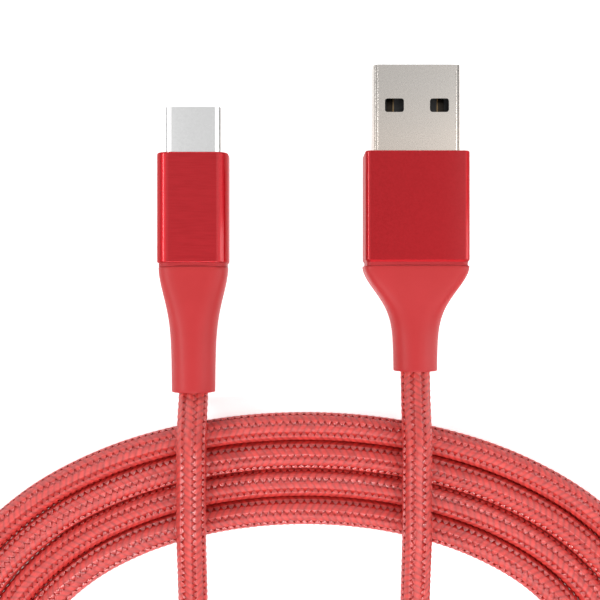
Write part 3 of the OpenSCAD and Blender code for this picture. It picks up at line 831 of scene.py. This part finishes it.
def makeHostShell():
    low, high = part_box("host_shell")
    centre = (low + high) / 2
    piece = roundedBar("hostShell", high.x - low.x, high.z - low.z, hostShell["corner"] * mm,
                       low.y, high.y, centre, hostShell["cornerSteps"])
    foldSheet(piece, centre, (low.z, high.z), (high.x - low.x) / 2 - hostShell["corner"] * mm)
    openTube(piece, hostShell["wall"])
    y = high.y - hostShell["back"] * mm
    cut(piece, [windowCutter(centre.x + side * hostShell["pitch"] / 2 * mm, y, centre) for side in (-1, 1)])
    finishShell(piece, "host", hostShell)


def makeDeviceShell():
    low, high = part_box("device_shell")
    piece = roundedBar("deviceShell", high.x - low.x, high.z - low.z, (high.z - low.z) * roundSide,
                       low.y, high.y, (low + high) / 2, deviceShell["cornerSteps"])
    openTube(piece, deviceShell["wall"])
    finishShell(piece, "device", deviceShell)


makeHostShell()
makeDeviceShell()
print("shells made")


# soft boots

boots = {
    "host": {"neck": 4.9, "square": 7, "frontEdge": 0.15, "rearEdge": 0.12, "bore": 4.1,
             "ferruleBore": 5.1, "ferruleEnd": 2.75, "bendTo": 11.0},
    "device": {"neck": 5.9, "square": 3.4, "frontEdge": 0.15, "rearEdge": 0.12, "bore": 4.1,
               "ferruleBore": 4.7, "ferruleEnd": 2.65, "bendTo": 14.0},
}
bootShape = {"end": 6.1, "taper": 0.15, "bend": 1.9, "lip": 0.1, "frontStep": 0.3,
             "around": 96, "rows": 36, "boreRows": 12, "cordPoints": 8}


# a ring is (distance behind the front, half width, half height, squareness)
def bootRings(made, halfWidth, halfHeight, length):
    end = bootShape["end"] / 2

    def size(s, front):
        fade = math.exp(-(s / made["neck"]) ** bootShape["bend"])
        return end + bootShape["taper"] * (1 - s / length) + (front - end - bootShape["taper"]) * fade

    def outside(s, inset=0.0):
        square = 2 + (made["square"] - 2) * math.exp(-(s / made["neck"]) ** bootShape["bend"])
        return (s, size(s, halfWidth) - inset, size(s, halfHeight) - inset, square)
    front, rear = made["frontEdge"], made["rearEdge"]
    step = front * bootShape["frontStep"]
    rings = [outside(0, front), outside(step, step), outside(front)]
    rows = bootShape["rows"]
    rings += [outside(front + (length - front - rear) * i / rows) for i in range(1, rows + 1)]
    for turn in (30, 60, 90):
        angle = math.radians(turn)
        rings.append(outside(length - rear + rear * math.sin(angle), rear * (1 - math.cos(angle))))
    bore, ferruleBore, lip = made["bore"] / 2, made["ferruleBore"] / 2, bootShape["lip"]
    rings += [(length, bore + lip, bore + lip, 2), (length - lip, bore, bore, 2)]
    rows = bootShape["boreRows"]
    inside = [length - lip + (made["ferruleEnd"] - length + lip) * i / rows for i in range(1, rows + 1)]
    rings += [(s, bore, bore, 2) for s in inside]
    rings += [(made["ferruleEnd"], ferruleBore, ferruleBore, 2), (0, ferruleBore, ferruleBore, 2)]
    return rings


def signedPower(value, power):
    return math.copysign(abs(value) ** power, value)


# a closed skin through rings: one circle extruded once for each ring, then every ring put in its place
def loft(name, rings, front, around):
    clearSelection()
    bpy.ops.mesh.primitive_circle_add(vertices=around, radius=mm, rotation=(math.pi / 2, 0, 0))
    piece = bpy.context.object
    piece.name = name
    bakePlace(piece)
    startEdit(piece, "EDGE")
    bpy.ops.mesh.select_all(action="SELECT")
    last = len(rings) - 1
    for extrusion in range(last):
        bpy.ops.mesh.extrude_region_move(TRANSFORM_OT_translate={"value": (0, -mm, 0)})
    mesh = bmesh.from_edit_mesh(piece.data)
    for edge in mesh.edges:
        edge.select_set(all(round(-v.co.y / mm) in (0, last) for v in edge.verts)
                        and abs(edge.verts[0].co.y - edge.verts[1].co.y) < mm / 2)
    bmesh.update_edit_mesh(piece.data)
    bpy.ops.mesh.bridge_edge_loops()
    endEdit()
    for vertex in piece.data.vertices:
        s, halfWidth, halfHeight, square = rings[round(-vertex.co.y / mm)]
        angle = math.atan2(vertex.co.z, vertex.co.x)
        x = halfWidth * signedPower(math.cos(angle), 2 / square)
        z = halfHeight * signedPower(math.sin(angle), 2 / square)
        vertex.co = front + Vector((x, -s, z)) * mm
    startEdit(piece, "EDGE")
    bpy.ops.mesh.select_all(action="SELECT")
    bpy.ops.mesh.normals_make_consistent(inside=False)
    endEdit()
    return piece


def bendPiece(piece, material, node):
    dress(piece, material)
    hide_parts(node)
    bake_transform(piece)


def makeBoot(plug):
    made = boots[plug]
    low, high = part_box(plug + "_boot")
    axis = middle(plug + "_housing")
    front = Vector((axis.x, high.y, axis.z))
    length = (high.y - low.y) / mm
    halfWidth = (high.x - low.x) / 2 / mm
    halfHeight = (high.z - axis.z) / mm
    piece = loft(plug + "Boot", bootRings(made, halfWidth, halfHeight, length), front, bootShape["around"])
    smooth(piece, softAngle)
    bendPiece(piece, finish["bootRubber"], plug + "_boot")
    low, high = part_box(plug + "_cord_end")
    places = np.linspace(low.y + cord["tuck"] * mm, high.y, bootShape["cordPoints"])
    inner = [Vector((axis.x, y, axis.z)) / mm for y in places]
    core = braidedTube(plug + "CordEnd", inner, cord["diameter"] / 2)[0]
    bendPiece(core, braidedNylon, plug + "_cord_end")


for plug in boots:
    makeBoot(plug)
print("boots made")


# studio

studio = {
    "fill": 0.085,                  # sky on matt surfaces
    "glossSky": 0.8,                # sky that gloss and metal see
    "glossSides": 0.32,             # and far to the left and right
    "sidesFrom": 0.65,              # how far sideways that starts, where 1 is straight left or right
    "sidesAt": 0.95,
    "floorSize": 4,                 # metres
    "floorDrop": 0.05,              # millimetres that the cord sinks into the floor
    "floorTone": (0.9, 0.9, 0.9),
    "floorGlow": 0.66,              # added where the camera, gloss or glass looks at the floor
    "whiteFrom": 0.18,              # metres from the cable where the floor starts to fade to white
    "whiteAt": 0.7,
    # place, aim, width, length and watts
    "lamps": {
        "frontLamp": ((10, -330, 290), (0, -50, 0), 420, 60, 1.45),
        "backLamp": ((0, 330, 110), (0, -40, 0), 420, 50, 0.4),
        "leftLamp": ((-193, -10, 230), (0, -10, 0), 200, 320, 0.10),
        "leftStrip": ((-255, 15, 165), (0, 15, 0), 200, 45, 0.32),
        "rightLamp": ((193, -10, 230), (0, -10, 0), 200, 320, 0.20),
        "rightStrip": ((262, -10, 62), (0, -10, 0), 60, 320, 0.28),
    },
}


def makeLamps():
    for name, (spot, aim, width, length, watts) in studio["lamps"].items():
        clearSelection()
        bpy.ops.object.light_add(type="AREA", location=place(*spot))
        lamp = bpy.context.object
        lamp.name = name
        lamp.data.shape = "RECTANGLE"
        lamp.data.size, lamp.data.size_y = width * mm, length * mm
        lamp.data.energy = watts
        lamp.rotation_euler = (place(*aim) - place(*spot)).to_track_quat("-Z", "Y").to_euler()


def makeSky():
    world = bpy.context.scene.world or bpy.data.worlds.new("sky")
    bpy.context.scene.world = world
    world.use_nodes = True
    world.node_tree.nodes.clear()
    sky = NodeTree(world.node_tree)
    sideways = sky.calc("ABSOLUTE", sky.split(sky.coordinates("Generated"))[0])
    gloss = sky.fade(sideways, studio["sidesFrom"], studio["sidesAt"],
                     studio["glossSky"], studio["glossSides"], "LINEAR")
    cameraRay, seen = sky.rays()
    level = sky.add("ShaderNodeMix")
    sky.join(seen, level.inputs[0])
    level.inputs[2].default_value = studio["fill"]
    sky.join(sky.calc("MAXIMUM", gloss, cameraRay), level.inputs[3])
    light = sky.add("ShaderNodeBackground")
    light.inputs["Color"].default_value = (1, 1, 1, 1)
    sky.join(level.outputs[0], light.inputs["Strength"])
    sky.join(light.outputs[0], sky.add("ShaderNodeOutputWorld").inputs[0])


def makeFloor():
    clearSelection()
    bpy.ops.mesh.primitive_plane_add(size=studio["floorSize"], location=(0, 0, -studio["floorDrop"] * mm))
    floor = bpy.context.object
    floor.name = "studioFloor"
    look = Shader("studioFloor", Roughness=0.9)
    look.put("Base Color", (*studio["floorTone"], 1))
    look.put("Specular IOR Level", 0.0)
    look.put("Emission Color", (1, 1, 1, 1))
    away = look.add("ShaderNodeVectorMath", operation="LENGTH")
    look.join(look.coordinates(), away.inputs[0])
    glow = look.fade(away.outputs["Value"], studio["whiteFrom"], studio["whiteAt"], studio["floorGlow"], 1.0)
    seen = look.rays()[1]
    look.join(look.calc("MULTIPLY", seen, glow), look.surface.inputs["Emission Strength"])
    floor.data.materials.append(look.material)


makeLamps()
makeSky()
makeFloor()
bpy.context.scene.view_settings.view_transform = "Standard"
print("studio ready")
